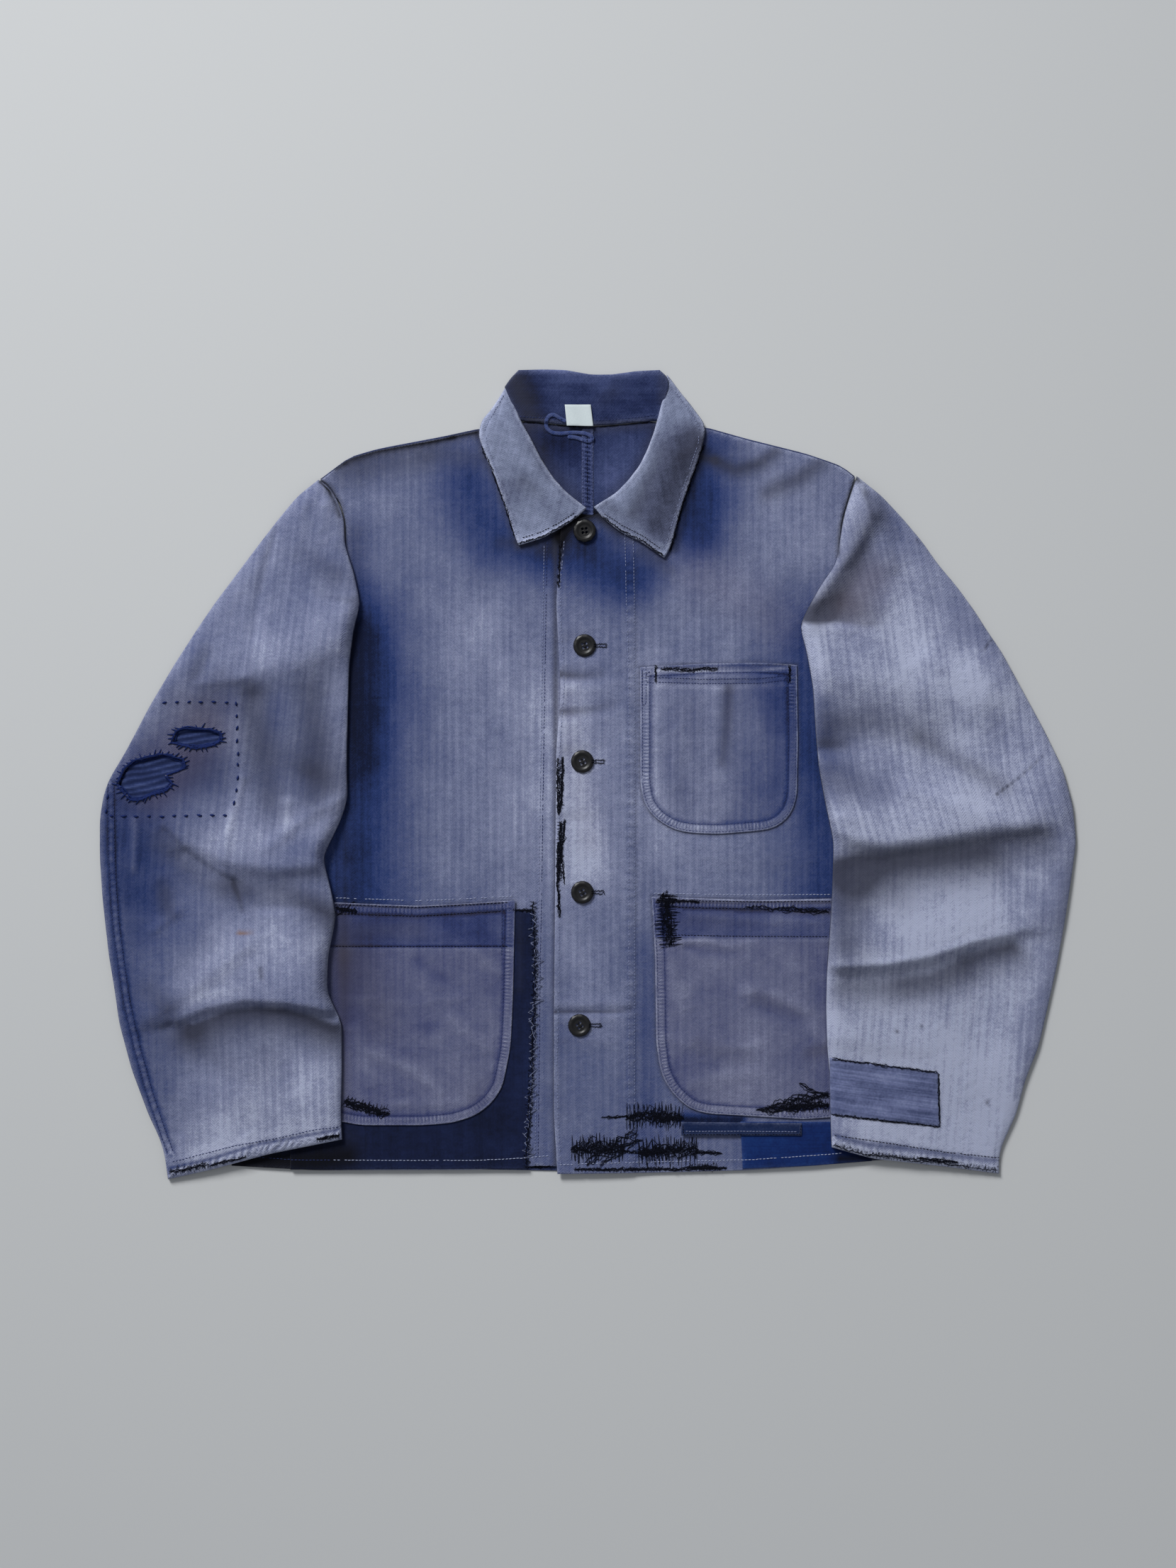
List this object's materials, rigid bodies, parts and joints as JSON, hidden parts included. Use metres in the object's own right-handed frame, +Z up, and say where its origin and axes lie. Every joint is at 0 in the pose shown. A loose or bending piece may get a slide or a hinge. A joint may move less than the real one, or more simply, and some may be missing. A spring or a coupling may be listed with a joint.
{
  "type": "patched work jacket laid flat",
  "caption": "Faded herringbone work jacket laid flat, front up, with sleeves folded over the sides, patch pockets and boro patches and darning.",
  "frame": {"origin": "bottom centre of the laid-out jacket's box, on the surface that it lies on", "axes": "+X towards the wearer's left sleeve, +Y from the hem to the collar, +Z up from the surface"},
  "size_m": [0.8604, 0.7137, 0.0192],
  "materials": {
    "faded_herringbone": "washed cotton herringbone twill, faded lavender blue, matt",
    "collar_herringbone": "washed cotton herringbone twill, greyed, matt",
    "cloth_inside": "inside of the same twill, less faded, matt",
    "navy_patch": "dark navy cotton patch with worn threads, matt",
    "blue_patch": "less faded blue cotton patch, matt",
    "slate_patch": "dark slate blue cotton patch, matt",
    "label_tape": "plain pale woven tape, bare",
    "black_button": "black resin, satin"
  },
  "bodies": {
    "root": {"back_right": "cloth_inside", "back_left": "cloth_inside", "front_right": "faded_herringbone", "front_left": "faded_herringbone", "sleeve_right_upper": "faded_herringbone", "sleeve_right_under": "cloth_inside", "sleeve_left_upper": "faded_herringbone", "sleeve_left_under": "cloth_inside", "collar": "collar_herringbone", "pocket_chest": "faded_herringbone", "pocket_right": "faded_herringbone", "pocket_left": "faded_herringbone", "patch_front_navy": "navy_patch", "patch_hem_blue": "blue_patch", "patch_hem_slate": "slate_patch", "patch_cuff": "slate_patch", "patch_elbow": "blue_patch", "label": "label_tape", "hanging_loop": "faded_herringbone", "button_1": "black_button", "button_2": "black_button", "button_3": "black_button", "button_4": "black_button", "button_5": "black_button"}
  },
  "joints": []
}
